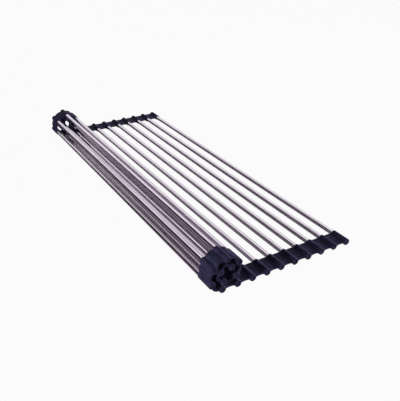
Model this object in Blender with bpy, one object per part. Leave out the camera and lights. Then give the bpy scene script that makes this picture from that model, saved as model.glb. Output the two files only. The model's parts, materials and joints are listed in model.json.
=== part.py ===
"""Roll-up dish drying rack: steel tubes held by two moulded silicone strips, partly rolled up.

Metres, +Z up. X runs along the strips, with the roll towards -X, and Y runs along the tubes. The
origin is the middle of the rack's footprint, on the surface that it stands on.

Each silicone strip is one flexible moulding. It bends at the thin line in the middle of the web
between two tubes, so it is divided there, and each tube with its two links is one stiff bar. The
bars fold about those lines one after another, which is how the rack rolls up.
"""

import math

import bmesh
import bpy
from mathutils import Matrix, Vector

MM = 0.001

# Rack
BAR_COUNT = 18
RACK_WIDTH = 520 * MM  # over both strips, along the tubes

# How far each web of the roll is folded, in degrees, from the flat part to the inner end
ROLL_FOLD_ANGLES = (73, 51, 54, 64, 75, 68, 98, 94)

# Steel tubes
TUBE_DIAMETER = 6.0 * MM
TUBE_WALL = 0.5 * MM
TUBE_SIDES = 16

# Silicone strips: a round boss on each tube's end, and a web from boss to boss
STRIP_WIDTH = 23.7 * MM  # along the tubes
BOSS_DIAMETER = 8.3 * MM
FOOT_DEPTH = 0.25 * MM  # flat along the underside of a boss
BOSS_STANDOUT = 0.9 * MM  # of a boss's closed end past the edge of the web
END_ROUNDING = 0.7 * MM
END_WALL = 2.0 * MM  # closes the socket that the tube sits in
SEAT_CLEARANCE = 0.3 * MM  # round the tube and at its end
WEB_SPAN = 11.3 * MM  # from boss to boss
WEB_THICKNESS = 2.8 * MM
WEB_RISE = 0.4 * MM  # middle of the web over the middle of the boss
FILLET_RADIUS = 1.2 * MM  # where a web runs into a boss

# Fold line: a rounded nose on one link turns in a shallow groove on the next
FOLD_THICKNESS = 1.4 * MM
FOLD_CLEARANCE = 0.6 * MM
FOLD_REACH = 1.5 * MM  # of the thin web, each side of the line
TAPER_LENGTH = 1.2 * MM  # from the thin web to the full one

# Steps along the curves of a link's outline
BOSS_TOP_STEPS = 5
BOSS_SIDE_STEPS = 3
BOSS_BOTTOM_STEPS = 2
FILLET_STEPS = 2
NOSE_STEPS = 6
GROOVE_STEPS = 4
SHARP_ANGLE = math.radians(38)

# Worked out from the sizes above
PITCH = BOSS_DIAMETER + WEB_SPAN
BOSS_RADIUS = BOSS_DIAMETER / 2
TUBE_RADIUS = TUBE_DIAMETER / 2
SOCKET_RADIUS = TUBE_RADIUS + SEAT_CLEARANCE
SOCKET_DEPTH = STRIP_WIDTH - END_WALL
TUBE_LENGTH = RACK_WIDTH - 2 * (END_WALL + SEAT_CLEARANCE)
WEB_TOP = WEB_RISE + WEB_THICKNESS / 2
WEB_BOTTOM = WEB_RISE - WEB_THICKNESS / 2
NOSE_RADIUS = FOLD_THICKNESS / 2
GROOVE_RADIUS = NOSE_RADIUS + FOLD_CLEARANCE
FOLD_X = PITCH / 2  # from a tube's axis to the fold line on either side
FLAT_FOLDS = BAR_COUNT - 1 - len(ROLL_FOLD_ANGLES)
FOLD_ANGLES = (0,) * FLAT_FOLDS + ROLL_FOLD_ANGLES


def clear_scene():
    for obj in list(bpy.data.objects):
        bpy.data.objects.remove(obj)


def material(name, color, roughness, metallic):
    mat = bpy.data.materials.new(name)
    mat.use_nodes = True
    shader = mat.node_tree.nodes["Principled BSDF"]
    shader.inputs["Base Color"].default_value = (*color, 1)
    shader.inputs["Roughness"].default_value = roughness
    shader.inputs["Metallic"].default_value = metallic
    mat.diffuse_color = (*color, 1)
    return mat


def mesh_from(bm, name, mat):
    """The finished mesh, with its faces turned outwards and its round sides shaded smooth."""
    bmesh.ops.recalc_face_normals(bm, faces=bm.faces)
    mesh = bpy.data.meshes.new(name)
    bm.to_mesh(mesh)
    bm.free()
    mesh.materials.append(mat)
    mesh.shade_smooth()
    mesh.set_sharp_from_angle(angle=SHARP_ANGLE)
    return mesh


def arc(centre, radius, start, end, steps):
    """Points (x, z) along an arc from one angle to another, in radians, with both ends."""
    angles = [start + (end - start) * step / steps for step in range(steps + 1)]
    return [(centre[0] + radius * math.cos(a), centre[1] + radius * math.sin(a)) for a in angles]


def fillet(face_z, up):
    """The hollow between the boss and a web's face at the height face_z, from the boss outwards."""
    centre_z = face_z + up * FILLET_RADIUS
    centre_x = math.sqrt((BOSS_RADIUS + FILLET_RADIUS) ** 2 - centre_z**2)
    on_boss = -up * (math.pi - math.atan2(up * centre_z, centre_x))
    return arc((centre_x, centre_z), FILLET_RADIUS, on_boss, -up * math.pi / 2, FILLET_STEPS)


def fold_end(grooved):
    """A web's end at the fold line, from its lower side to its upper side."""
    if not grooved:
        return arc((FOLD_X, WEB_RISE), NOSE_RADIUS, -math.pi / 2, math.pi / 2, NOSE_STEPS)
    half = math.asin(NOSE_RADIUS / GROOVE_RADIUS)
    return arc((FOLD_X, WEB_RISE), GROOVE_RADIUS, half - math.pi, -math.pi - half, GROOVE_STEPS)


def web_outline(grooved):
    """The web on the +x side of a boss, from the boss's underside round to its top."""
    thin_x = FOLD_X - FOLD_REACH
    full_x = thin_x - TAPER_LENGTH
    lower = fillet(WEB_BOTTOM, -1) + [(full_x, WEB_BOTTOM), (thin_x, WEB_RISE - NOSE_RADIUS)]
    upper = [(thin_x, WEB_RISE + NOSE_RADIUS), (full_x, WEB_TOP)] + fillet(WEB_TOP, 1)[::-1]
    return lower + fold_end(grooved) + upper


def angle_of(point):
    return math.atan2(point[1], point[0])


def boss_arcs():
    """The boss's outline in four stretches: under and over it, and what each web covers."""
    low, high = angle_of(fillet(WEB_BOTTOM, -1)[0]), angle_of(fillet(WEB_TOP, 1)[0])
    foot = math.acos((BOSS_RADIUS - FOOT_DEPTH) / BOSS_RADIUS)
    down = -math.pi / 2
    right = arc((0, 0), BOSS_RADIUS, low, high, BOSS_SIDE_STEPS)
    over = arc((0, 0), BOSS_RADIUS, high, math.pi - high, BOSS_TOP_STEPS)
    left = [(-x, z) for x, z in right[::-1]]
    under = arc((0, 0), BOSS_RADIUS, -math.pi - low, down - foot, BOSS_BOTTOM_STEPS)
    under.append((0, FOOT_DEPTH - BOSS_RADIUS))
    under += arc((0, 0), BOSS_RADIUS, down + foot, low, BOSS_BOTTOM_STEPS)
    return right, over, left, under


def outline_faces(bm, y, webs):
    """The link's cross-section at y: the boss's disc and, for each side in webs, a web.

    webs maps a side, +1 or -1, to True where that web ends in a groove and to False for a nose.
    """
    made = {}

    def vert(point):
        """One vertex for each place, so that the faces share their edges."""
        key = (round(point[0] / MM, 4), round(point[1] / MM, 4))
        if key not in made:
            made[key] = bm.verts.new((point[0], y, point[1]))
        return made[key]

    right, over, left, under = boss_arcs()
    disc_points = right[:-1] + over[:-1] + left[:-1] + under[:-1]
    disc = bm.faces.new([vert(point) for point in disc_points])
    for side, grooved in webs.items():
        outer = [(side * x, z) for x, z in web_outline(grooved)]
        inner = [(side * x, z) for x, z in right[::-1]]
        bm.faces.new([vert(point) for point in outer + inner[1:-1]])
    return disc


def extruded(bm, faces, distance):
    """Extrudes the faces along y and gives the new faces at the far end."""
    edges = {edge for face in faces for edge in face.edges}
    grown = bmesh.ops.extrude_face_region(bm, geom=[*faces, *edges])["geom"]
    verts = [item for item in grown if isinstance(item, bmesh.types.BMVert)]
    bmesh.ops.translate(bm, verts=verts, vec=(0, distance, 0))
    return [item for item in grown if isinstance(item, bmesh.types.BMFace)]


def round_end(bm, disc):
    """The boss's closed end, which stands out past the web and has a rounded rim."""
    (face,) = extruded(bm, [disc], END_ROUNDING - BOSS_STANDOUT)
    (face,) = extruded(bm, [face], -END_ROUNDING)
    share = (BOSS_RADIUS - END_ROUNDING) / BOSS_RADIUS
    bmesh.ops.scale(bm, verts=face.verts, vec=(share, 1, share))


def socket(bm, disc):
    """The blind socket in the boss's open end, which the tube sits in."""
    (mouth,) = extruded(bm, [disc], 0)
    for vertex in mouth.verts:
        outwards = Vector((vertex.co.x, 0, vertex.co.z))
        vertex.co += outwards.normalized() * SOCKET_RADIUS - outwards
    extruded(bm, [mouth], -SOCKET_DEPTH)


def link_mesh(name, webs, mirrored, mat):
    """One link of a strip, with the tube's axis at x = z = 0 and the boss's closed end at y = 0."""
    bm = bmesh.new()
    disc = outline_faces(bm, BOSS_STANDOUT, webs)
    far_faces = extruded(bm, bm.faces[:], STRIP_WIDTH - BOSS_STANDOUT)
    sides = len(disc.verts)
    socket(bm, next(face for face in far_faces if len(face.verts) == sides))
    round_end(bm, disc)
    if mirrored:
        bmesh.ops.scale(bm, verts=bm.verts, vec=(1, -1, 1))
    return mesh_from(bm, name, mat)


def tube_mesh(mat):
    """An open tube along y, with its near end at y = 0."""
    bm = bmesh.new()
    upright = Matrix.Rotation(math.pi / 2, 4, "X")
    rims = []
    for radius in (TUBE_RADIUS, TUBE_RADIUS - TUBE_WALL):
        ring = bmesh.ops.create_circle(bm, segments=TUBE_SIDES, radius=radius, matrix=upright)
        rims += {edge for vertex in ring["verts"] for edge in vertex.link_edges}
    extruded(bm, bmesh.ops.bridge_loops(bm, edges=rims)["faces"], TUBE_LENGTH)
    return mesh_from(bm, "tube", mat)


def add_object(name, mesh, parent, location):
    obj = bpy.data.objects.new(name, mesh)
    bpy.context.collection.objects.link(obj)
    obj.parent = parent
    obj.location = location
    return obj


def link_meshes(mat):
    """The strip's meshes by side of the rack and by which webs a link has."""
    kinds = {"first": {-1: False}, "inner": {1: True, -1: False}, "last": {1: True}}
    return {
        (side, kind): link_mesh(f"{side}_{kind}_link", webs, side == "far", mat)
        for side in ("near", "far")
        for kind, webs in kinds.items()
    }


def add_bar(number, hinge, tube, links):
    """A tube and its two links, on the fold line that they turn about."""
    kind = {1: "first", BAR_COUNT: "last"}.get(number, "inner")
    axis = Vector((-FOLD_X, 0, -WEB_RISE))
    tube_start = Vector((0, END_WALL + SEAT_CLEARANCE, 0))
    far_end = Vector((0, RACK_WIDTH, 0))
    return [
        add_object(f"tube_{number:02d}", tube, hinge, axis + tube_start),
        add_object(f"near_link_{number:02d}", links["near", kind], hinge, axis),
        add_object(f"far_link_{number:02d}", links["far", kind], hinge, axis + far_end),
    ]


def centre_on_origin(rack, pieces):
    bpy.context.view_layer.update()
    reach = [(piece.matrix_world @ v.co).x for piece in pieces for v in piece.data.vertices]
    rack.location.x -= (min(reach) + max(reach)) / 2


def build_rack():
    clear_scene()
    silicone = material("silicone", (0.030, 0.029, 0.045), 0.55, 0)
    steel = material("steel", (0.78, 0.77, 0.80), 0.22, 1)
    tube = tube_mesh(steel)
    links = link_meshes(silicone)

    rack = add_object("rack", None, None, (0, -RACK_WIDTH / 2, 0))
    standing_height = BOSS_RADIUS - FOOT_DEPTH + WEB_RISE
    hinge = add_object("bar_01", None, rack, (FOLD_X, 0, standing_height))
    pieces = add_bar(1, hinge, tube, links)
    for number, fold in enumerate(FOLD_ANGLES, start=2):
        hinge = add_object(f"fold_{number - 1:02d}", None, hinge, (-PITCH, 0, 0))
        hinge.rotation_euler.y = math.radians(fold)
        pieces += add_bar(number, hinge, tube, links)
    centre_on_origin(rack, pieces)


build_rack()
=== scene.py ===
# Roll-up dish drying rack: steel tubes held by two silicone strips, with one end rolled up.
import json
import math

import bmesh
import bpy
from mathutils import Matrix, Vector


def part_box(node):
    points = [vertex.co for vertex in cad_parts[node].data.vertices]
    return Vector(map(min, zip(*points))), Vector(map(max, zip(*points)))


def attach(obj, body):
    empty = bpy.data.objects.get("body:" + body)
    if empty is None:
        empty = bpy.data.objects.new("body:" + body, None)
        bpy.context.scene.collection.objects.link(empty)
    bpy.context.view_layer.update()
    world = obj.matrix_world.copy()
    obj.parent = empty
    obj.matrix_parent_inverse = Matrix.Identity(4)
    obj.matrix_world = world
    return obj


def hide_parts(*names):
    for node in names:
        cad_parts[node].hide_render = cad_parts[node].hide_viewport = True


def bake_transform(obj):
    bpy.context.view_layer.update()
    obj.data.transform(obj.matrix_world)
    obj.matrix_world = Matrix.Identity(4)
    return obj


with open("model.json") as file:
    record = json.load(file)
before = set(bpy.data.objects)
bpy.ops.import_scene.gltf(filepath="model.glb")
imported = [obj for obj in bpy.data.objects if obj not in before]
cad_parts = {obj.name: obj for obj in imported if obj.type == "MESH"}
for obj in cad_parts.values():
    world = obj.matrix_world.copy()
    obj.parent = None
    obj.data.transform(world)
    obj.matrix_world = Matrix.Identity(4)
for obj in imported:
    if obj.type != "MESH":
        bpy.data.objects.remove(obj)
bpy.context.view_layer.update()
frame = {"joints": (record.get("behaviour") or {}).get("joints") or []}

mm = 0.001
sharpAngle = math.radians(40)
mergeDistance = 0.002 * mm

# The camera stands where the photograph was taken from, in metres and degrees
camera = {
    "place": (-0.3363, -0.6369, 0.3616),
    "azimuth": 30.99,  # from +Y towards +X
    "elevation": 28.89,  # looking down
    "lens": 48.85,
    "sensor": 36,
}


class Wire:
    # A shader socket that stands in sums written as Python expressions
    def __init__(self, graph, socket):
        self.graph = graph
        self.socket = socket

    def maths(self, operation, first, second):
        return self.graph.add("ShaderNodeMath", {"operation": operation}, {0: first, 1: second})

    def __add__(self, other):
        return self.maths("ADD", self, other)

    def __radd__(self, other):
        return self.maths("ADD", other, self)

    def __mul__(self, other):
        return self.maths("MULTIPLY", self, other)

    def __rmul__(self, other):
        return self.maths("MULTIPLY", other, self)


class Graph:
    # The nodes of one material or of the world
    def __init__(self, tree):
        self.tree = tree

    def add(self, kind, settings, inputs, output=0):
        # Settings come first, because they can change which sockets a node has
        node = self.tree.nodes.new(kind)
        for name, value in settings.items():
            if name == "stops":
                self.setStops(node.color_ramp, value)
            else:
                setattr(node, name, value)
        for name, value in inputs.items():
            self.feed(node, name, value)
        return Wire(self, node.outputs[output])

    def setStops(self, ramp, stops):
        while len(ramp.elements) < len(stops):
            ramp.elements.new(0.5)
        for element, (position, color) in zip(ramp.elements, stops):
            element.position = position
            element.color = (*color, 1)

    def feed(self, node, name, value):
        if isinstance(value, Wire):
            self.tree.links.new(value.socket, node.inputs[name])
        else:
            node.inputs[name].default_value = value


def newMaterial(name):
    material = bpy.data.materials.new(name)
    material.use_nodes = True
    graph = Graph(material.node_tree)
    return material, graph, graph.tree.nodes["Principled BSDF"]


# Silicone: soft, nearly black, with a blue cast and a satin skin from its mould
silicone = {
    "dark": (0.0165, 0.0155, 0.0330),
    "pale": (0.0310, 0.0290, 0.0620),
    "roughness": (0.42, 0.58),
    "specular": 0.012,
    "patches": {"Scale": 120, "Detail": 3, "Roughness": 0.6},  # from dark to pale
    "patchRange": (0.35, 0.70),
    "waves": {"Scale": 260, "Detail": 1},
    "waveHeight": 0.10 * mm,
    "grain": {"Scale": 2600, "Detail": 2, "Roughness": 0.7},
    "grainHeight": 0.02 * mm,
}


def siliconeMaterial():
    material, graph, shader = newMaterial("silicone")
    place = graph.add("ShaderNodeTexCoord", {}, {}, "Object")
    patches = graph.add("ShaderNodeTexNoise", {}, {"Vector": place, **silicone["patches"]})
    waves = graph.add("ShaderNodeTexNoise", {}, {"Vector": place, **silicone["waves"]})
    grain = graph.add("ShaderNodeTexNoise", {}, {"Vector": place, **silicone["grain"]})
    stops = list(zip(silicone["patchRange"], (silicone["dark"], silicone["pale"])))
    color = graph.add("ShaderNodeValToRGB", {"stops": stops}, {"Fac": patches})
    graph.feed(shader, "Base Color", color)
    low, high = silicone["roughness"]
    graph.feed(shader, "Roughness", low + (high - low) * patches)
    graph.feed(shader, "Specular IOR Level", silicone["specular"])
    height = waves * silicone["waveHeight"] + grain * silicone["grainHeight"]
    bump = graph.add("ShaderNodeBump", {}, {"Height": height, "Distance": 1, "Strength": 1})
    graph.feed(shader, "Normal", bump)
    return material


# Steel: drawn tube, polished bright, with faint lines along its length
steel = {
    "bright": (0.74, 0.668, 0.76),
    "dull": (0.58, 0.512, 0.605),
    "roughness": (0.05, 0.10),
    "streakScale": (700, 5, 700),  # long along the tube
    "streaks": {"Scale": 1, "Detail": 3, "Roughness": 0.6},
    "smudges": {"Scale": 45, "Detail": 4, "Roughness": 0.65},
    "wearRange": (0.35, 0.60),  # from dull to bright
}


def steelMaterial():
    material, graph, shader = newMaterial("steel")
    place = graph.add("ShaderNodeTexCoord", {}, {}, "Object")
    along = graph.add("ShaderNodeMapping", {}, {"Vector": place, "Scale": steel["streakScale"]})
    streaks = graph.add("ShaderNodeTexNoise", {}, {"Vector": along, **steel["streaks"]})
    smudges = graph.add("ShaderNodeTexNoise", {}, {"Vector": place, **steel["smudges"]})
    wear = 0.5 * streaks + 0.5 * smudges
    stops = list(zip(steel["wearRange"], (steel["dull"], steel["bright"])))
    color = graph.add("ShaderNodeValToRGB", {"stops": stops}, {"Fac": wear})
    graph.feed(shader, "Base Color", color)
    graph.feed(shader, "Metallic", 1)
    low, high = steel["roughness"]
    graph.feed(shader, "Roughness", low + (high - low) * wear)
    return material


materials = {"silicone": siliconeMaterial(), "steel": steelMaterial()}
print("materials ready")


# Where the frame holds each bar: its tube's axis, its turn about Y, and the folds between bars
folds = [Vector(joint["pos_m"]) for joint in frame["joints"]]
barCount = len(folds) + 1


def tubeAxis(number):
    low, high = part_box(f"tube_{number:02d}")
    return (low + high) / 2


def heading(vector):
    return math.atan2(vector.z, vector.x)


axes = [tubeAxis(number) for number in range(1, barCount + 1)]
halfPitch = axes[0].x - folds[0].x
webRise = folds[0].z - axes[0].z


def barTurn(index):
    # The turn that takes a bar from lying flat to where it is
    if index < barCount - 1:
        return heading(Vector((-halfPitch, 0, webRise))) - heading(folds[index] - axes[index])
    return heading(Vector((halfPitch, 0, webRise))) - heading(folds[index - 1] - axes[index])


turns = [barTurn(index) for index in range(barCount)]
nearLow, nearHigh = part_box("near_link_01")
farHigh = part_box("far_link_01")[1]
stripWidth = nearHigh.y - nearLow.y
footDepth = axes[0].z - nearLow.z
tubeLow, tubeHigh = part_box("tube_01")


def aboutY(turn):
    return Matrix.Rotation(turn, 3, "Y")


def toMesh(bm, name):
    mesh = bpy.data.meshes.new(name)
    bm.to_mesh(mesh)
    bm.free()
    return mesh


def fromTemplate(template):
    bm = bmesh.new()
    bm.from_mesh(template)
    return bm


def finishPiece(bm, name, finish):
    bmesh.ops.remove_doubles(bm, verts=bm.verts, dist=mergeDistance)
    bmesh.ops.recalc_face_normals(bm, faces=bm.faces)
    mesh = toMesh(bm, name)
    mesh.materials.append(materials[finish])
    mesh.shade_smooth()
    mesh.set_sharp_from_angle(angle=sharpAngle)
    piece = bpy.data.objects.new(name, mesh)
    bpy.context.scene.collection.objects.link(piece)
    return piece


def placeStrip(bm, side):
    # Pieces are made for the near strip, from its outer edge at y = 0 inwards
    if side == "near":
        bmesh.ops.translate(bm, verts=bm.verts, vec=(0, nearLow.y, 0))
    else:
        bmesh.ops.scale(bm, verts=bm.verts, vec=(1, -1, 1))
        bmesh.ops.translate(bm, verts=bm.verts, vec=(0, farHigh.y, 0))


def turned(points, segments, isRing=False):
    # (radius, y) points turned about Y: a ring's close on themselves, others end on the axis
    bm = bmesh.new()
    verts = [bm.verts.new((radius, y, 0)) for radius, y in points]
    followers = verts[1:] + verts[:1] if isRing else verts[1:]
    edges = [bm.edges.new(pair) for pair in zip(verts, followers)]
    bmesh.ops.spin(bm, geom=verts + edges, cent=(0, 0, 0), axis=(0, 1, 0), dvec=(0, 0, 0),
                   angle=math.tau, steps=segments, use_merge=True)
    bmesh.ops.remove_doubles(bm, verts=bm.verts, dist=mergeDistance)
    return bm


def arcPoints(centre, radius, start, end, steps):
    # Angles in degrees, from the first coordinate's axis towards the second's
    angles = [math.radians(start + (end - start) * step / steps) for step in range(steps + 1)]
    return [(centre[0] + radius * math.cos(a), centre[1] + radius * math.sin(a)) for a in angles]


# Bosses: the round sleeves on the tubes' ends
boss = {
    "radius": 4.15 * mm,
    "segments": 64,
    "rimRadius": 0.7 * mm,  # of the closed end
    "dimpleRadius": 2.3 * mm,
    "dimpleDepth": 0.45 * mm,
    "dimpleSlope": 0.35 * mm,
    "dimpleRim": (0.35, 0.6),  # where its slope softens: shares of the depth and of the slope
    "lipRadius": 0.35 * mm,  # of the open end
    "mouthGap": 0.06 * mm,  # round the tube
    "wall": 2.0 * mm,
    "arcSteps": 5,
}


def bossTemplate():
    outer, rim, lip = boss["radius"], boss["rimRadius"], boss["lipRadius"]
    bore = (tubeHigh.x - tubeLow.x) / 2 + boss["mouthGap"]
    dimple, depth, slope = boss["dimpleRadius"], boss["dimpleDepth"], boss["dimpleSlope"]
    rimDepth, rimReach = boss["dimpleRim"]
    points = [(0, depth), (dimple - slope, depth)]
    points += [(dimple, depth * rimDepth), (dimple + slope * rimReach, 0)]
    points += arcPoints((outer - rim, rim), rim, -90, 0, boss["arcSteps"])
    points += arcPoints((outer - lip, stripWidth - lip), lip, 0, 90, boss["arcSteps"])
    points += arcPoints((bore + lip, stripWidth - lip), lip, 90, 180, boss["arcSteps"])
    points += [(bore, boss["wall"]), (0, boss["wall"])]
    bm = turned(points, boss["segments"])
    for vertex in bm.verts:  # the narrow flat that the boss stands on
        vertex.co.z = max(vertex.co.z, -footDepth)
    return toMesh(bm, "boss_template")


def addBosses():
    template = bossTemplate()
    for index, (axis, turn) in enumerate(zip(axes, turns)):
        for side in ("near", "far"):
            bm = fromTemplate(template)
            bmesh.ops.rotate(bm, verts=bm.verts, cent=(0, 0, 0), matrix=aboutY(turn))
            bmesh.ops.translate(bm, verts=bm.verts, vec=(axis.x, 0, axis.z))
            placeStrip(bm, side)
            piece = finishPiece(bm, f"{side}_boss_{index + 1:02d}", "silicone")
            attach(piece, f"bar_{index + 1:02d}")
            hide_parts(f"{side}_link_{index + 1:02d}")


# Webs: the thin stretches of a strip between two bosses, which fold along their middle
web = {
    "thickness": 2.8 * mm,
    "outerEdge": 0.9 * mm,  # in from the bosses' closed ends
    "edgeRadius": 0.6 * mm,
    "edgeSteps": 4,
    "edgeDip": 0.7 * mm,  # the outer edge draws in between two bosses
    "filletRadius": 1.2 * mm,
    "filletSteps": 6,
    "bendReach": 4.4 * mm,  # a bend is an arc this far to each side of the fold line
    "turnReach": 5.0 * mm,  # and in this stretch the web turns with the bars
    "bendSteps": 10,
    "leastBend": math.radians(0.1),  # less than this counts as flat
    "crown": 0.15 * mm,  # the upper face swells a little towards the fold line
    "hiddenEnd": 3.35 * mm,  # from a boss's axis, inside its wall
}


def filletReach(faceHeight):
    # From a boss's axis to the fillet's centre and to where it meets the boss
    radius = web["filletRadius"]
    centre = math.sqrt((boss["radius"] + radius) ** 2 - (faceHeight + radius) ** 2)
    return centre, centre * boss["radius"] / (boss["radius"] + radius)


def filletLift(x, faceHeight):
    # How far a web's face rises at x, measured from the boss's axis
    radius = web["filletRadius"]
    centre, meets = filletReach(faceHeight)
    across = min(max(centre - max(x, meets), 0), radius)
    return radius - math.sqrt(radius**2 - across**2)


def webTemplate():
    # x is measured from the fold line and z from the middle of the web
    half = halfPitch - web["hiddenEnd"]
    outer, inner = web["outerEdge"], stripWidth
    bm = bmesh.new()
    bmesh.ops.create_cube(bm, size=1)
    bmesh.ops.scale(bm, verts=bm.verts, vec=(2 * half, inner - outer, web["thickness"]))
    bmesh.ops.translate(bm, verts=bm.verts, vec=(0, (inner + outer) / 2, 0))
    longEdges = [edge for edge in bm.edges
                 if abs(edge.verts[0].co.x - edge.verts[1].co.x) > half]
    bmesh.ops.bevel(bm, geom=longEdges, offset=web["edgeRadius"], offset_type="OFFSET",
                    segments=web["edgeSteps"], profile=0.5, affect="EDGES", material=-1)
    for x in webStations(half):
        bmesh.ops.bisect_plane(bm, geom=bm.verts[:] + bm.edges[:] + bm.faces[:],
                               plane_co=(x, 0, 0), plane_no=(1, 0, 0), dist=mergeDistance / 10)
    shapeWeb(bm, half)
    return toMesh(bm, "web_template")


def webStations(half):
    # Where a web is cut across, for its bend and for the fillets on both its faces
    stations = {web["bendReach"] * step / web["bendSteps"] for step in range(web["bendSteps"] + 1)}
    for faceHeight in (webRise + web["thickness"] / 2, web["thickness"] / 2 - webRise):
        centre, meets = filletReach(faceHeight)
        for step in range(web["filletSteps"] + 1):
            share = math.sin(math.pi / 2 * step / web["filletSteps"])
            stations.add(halfPitch - centre + (centre - meets) * share)
    return sorted({side * x for x in stations if x < half for side in (-1, 1)})


def shapeWeb(bm, half):
    middle = web["thickness"] / 2
    for vertex in bm.verts:
        x, y, z = vertex.co
        fromBoss = halfPitch - abs(x)
        share = abs(x) / half
        if z > 0:
            vertex.co.z += filletLift(fromBoss, middle + webRise)
            vertex.co.z += web["crown"] * (1 - share**2)
        else:
            vertex.co.z -= filletLift(fromBoss, middle - webRise)
        if y < stripWidth / 2:
            vertex.co.y += web["edgeDip"] * (1 - share**2) ** 2


def bentPlace(x, bend):
    # Where a point of a flat web's middle line goes when the web bends, and how far it turns there
    reach = web["bendReach"]
    if x >= reach or abs(bend) < web["leastBend"]:
        return Vector((x, 0, 0)), 0
    if x <= -reach:
        return aboutY(bend) @ Vector((x, 0, 0)), bend
    radius = reach / math.tan(bend / 2)
    turn = bend * (reach - x) / (2 * reach)
    return Vector((reach - radius * math.sin(turn), 0, radius * (1 - math.cos(turn)))), turn


def addWebs():
    template = webTemplate()
    for index, fold in enumerate(folds):
        turn = turns[index]
        bend = math.remainder(turns[index + 1] - turn, math.tau)
        toBar = aboutY(turn)
        start = fold + toBar @ bentPlace(web["turnReach"], bend)[0]
        end = fold + toBar @ bentPlace(-web["turnReach"], bend)[0]
        for side in ("near", "far"):
            bm = fromTemplate(template)
            for vertex in bm.verts:
                x, y, z = vertex.co
                middle, turnHere = bentPlace(x, bend)
                middle += aboutY(turnHere) @ Vector((0, 0, z))
                vertex.co = Vector((fold.x, y, fold.z)) + toBar @ middle
            placeStrip(bm, side)
            piece = finishPiece(bm, f"{side}_web_{index + 1:02d}", "silicone")
            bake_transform(piece)


# Tubes: drawn steel, open at both ends inside the bosses
tube = {
    "radius": 3.0 * mm,
    "wall": 0.5 * mm,
    "chamfer": 0.1 * mm,
    "segments": 64,
}


def tubeTemplate():
    outer, inner, edge = tube["radius"], tube["radius"] - tube["wall"], tube["chamfer"]
    start, end = tubeLow.y, tubeHigh.y
    points = [(inner, start), (outer - edge, start), (outer, start + edge)]
    points += [(outer, end - edge), (outer - edge, end), (inner, end)]
    return toMesh(turned(points, tube["segments"], isRing=True), "tube_template")


def addTubes():
    template = tubeTemplate()
    for index, axis in enumerate(axes):
        bm = fromTemplate(template)
        bmesh.ops.translate(bm, verts=bm.verts, vec=(axis.x, 0, axis.z))
        piece = finishPiece(bm, f"steel_tube_{index + 1:02d}", "steel")
        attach(piece, f"bar_{index + 1:02d}")
        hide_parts(f"tube_{index + 1:02d}")


addTubes()
print("tubes ready")
addBosses()
print("bosses ready")
addWebs()
print("webs ready")


# Studio: a white floor in a white room, with soft lamps low around the rack
studio = {
    "floorSize": 12,
    "floorColor": (0.19, 0.12, 0.185),
    "floorWhite": {"camera": 0.96, "gloss": 0.07},  # the share of plain white that rays meet
    "worldColor": (0.030, 0.015, 0.030),
    "worldWhite": {"camera": 0.96, "gloss": 1},
    "cardPlace": (-4.05, 4.0, 2.7),  # a dark card far behind, whose edge shows in the tubes
    "cardSize": (4.5, 5.4),
    "cardColor": (0.020, 0.012, 0.020),
    "roughness": 0.9,
}

# In metres and watts, all turned to the rack's middle
lamps = {
    "behind": {
        "place": (0.5, 2.4, 1.1), "size": (3.2, 2.2), "power": 4, "color": (1, 1, 1)},
    "back": {
        "place": (-0.3, 1.6, 0.2), "size": (0.8, 0.4), "power": 9, "color": (0.97, 0.97, 1)},
    "right": {
        "place": (1.1, -0.32, 0.22), "size": (0.3, 0.25), "power": 44, "color": (1, 0.99, 0.99)},
    "front": {
        "place": (0.1, -1.6, 0.3), "size": (0.8, 0.5), "power": 11, "color": (0.97, 0.97, 1)},
    "left": {
        "place": (-0.60, -0.27, 0.13), "size": (0.2, 0.15), "power": 3.8, "color": (0.96, 0.96, 1)},
}


def seenAsWhite(graph, white):
    # How far camera rays, and those that mirror or pass through, meet plain white
    paths = [graph.add("ShaderNodeLightPath", {}, {}, f"Is {kind} Ray")
             for kind in ("Camera", "Glossy", "Transmission")]
    return white["camera"] * paths[0] + white["gloss"] * (paths[1] + paths[2])


def addStagePiece(bm, name, material):
    mesh = toMesh(bm, name)
    mesh.materials.append(material)
    piece = bpy.data.objects.new(name, mesh)
    bpy.context.scene.collection.objects.link(piece)
    return piece


def mattMaterial(name, color):
    material, graph, shader = newMaterial(name)
    graph.feed(shader, "Base Color", (*color, 1))
    graph.feed(shader, "Roughness", studio["roughness"])
    return material, graph, shader


def addFloor():
    bm = bmesh.new()
    bmesh.ops.create_grid(bm, x_segments=1, y_segments=1, size=studio["floorSize"] / 2)
    material, graph, shader = mattMaterial("floor_white", studio["floorColor"])
    graph.feed(shader, "Specular IOR Level", 0)
    white = graph.add("ShaderNodeEmission", {}, {"Color": (1, 1, 1, 1), "Strength": 1})
    seen = graph.add("ShaderNodeMixShader", {}, {
        0: seenAsWhite(graph, studio["floorWhite"]), 1: Wire(graph, shader.outputs[0]), 2: white})
    graph.feed(graph.tree.nodes["Material Output"], "Surface", seen)
    addStagePiece(bm, "floor", material)


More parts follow.
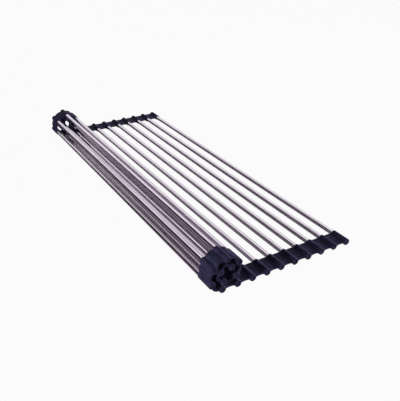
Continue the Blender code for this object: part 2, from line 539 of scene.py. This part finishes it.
def addCard():
    bm = bmesh.new()
    bmesh.ops.create_grid(bm, x_segments=1, y_segments=1, size=0.5)
    bmesh.ops.scale(bm, verts=bm.verts, vec=(*studio["cardSize"], 1))
    upright = Matrix.Rotation(math.pi / 2, 3, "X")
    bmesh.ops.rotate(bm, verts=bm.verts, cent=(0, 0, 0), matrix=upright)
    bmesh.ops.translate(bm, verts=bm.verts, vec=studio["cardPlace"])
    material = mattMaterial("card_dark", studio["cardColor"])[0]
    card = addStagePiece(bm, "card", material)
    card.visible_camera = False


def addWorld():
    world = bpy.data.worlds.new("studio")
    bpy.context.scene.world = world
    world.use_nodes = True
    graph = Graph(world.node_tree)
    dim = graph.tree.nodes["Background"]
    graph.feed(dim, "Color", (*studio["worldColor"], 1))
    white = graph.add("ShaderNodeBackground", {}, {"Color": (1, 1, 1, 1), "Strength": 1})
    seen = graph.add("ShaderNodeMixShader", {}, {
        0: seenAsWhite(graph, studio["worldWhite"]), 1: Wire(graph, dim.outputs[0]), 2: white})
    graph.feed(graph.tree.nodes["World Output"], "Surface", seen)


def addLamps():
    for name, lamp in lamps.items():
        data = bpy.data.lights.new(name, "AREA")
        data.shape = "RECTANGLE"
        data.size, data.size_y = lamp["size"]
        data.energy = lamp["power"]
        data.color = lamp["color"]
        obj = bpy.data.objects.new(name, data)
        obj.location = lamp["place"]
        obj.rotation_euler = (-obj.location).to_track_quat("-Z", "Y").to_euler()
        obj.visible_camera = False
        obj.visible_glossy = False  # the tubes mirror the white room, not the lamps
        bpy.context.scene.collection.objects.link(obj)


def addCamera():
    data = bpy.data.cameras.new("camera")
    data.lens = camera["lens"]
    data.sensor_width = camera["sensor"]
    obj = bpy.data.objects.new("camera", data)
    obj.location = camera["place"]
    obj.rotation_euler = (
        math.radians(90 - camera["elevation"]), 0, -math.radians(camera["azimuth"]))
    bpy.context.scene.collection.objects.link(obj)
    bpy.context.scene.camera = obj


addFloor()
addCard()
addWorld()
addLamps()
addCamera()
bpy.context.scene.view_settings.view_transform = "Standard"
print("studio ready")
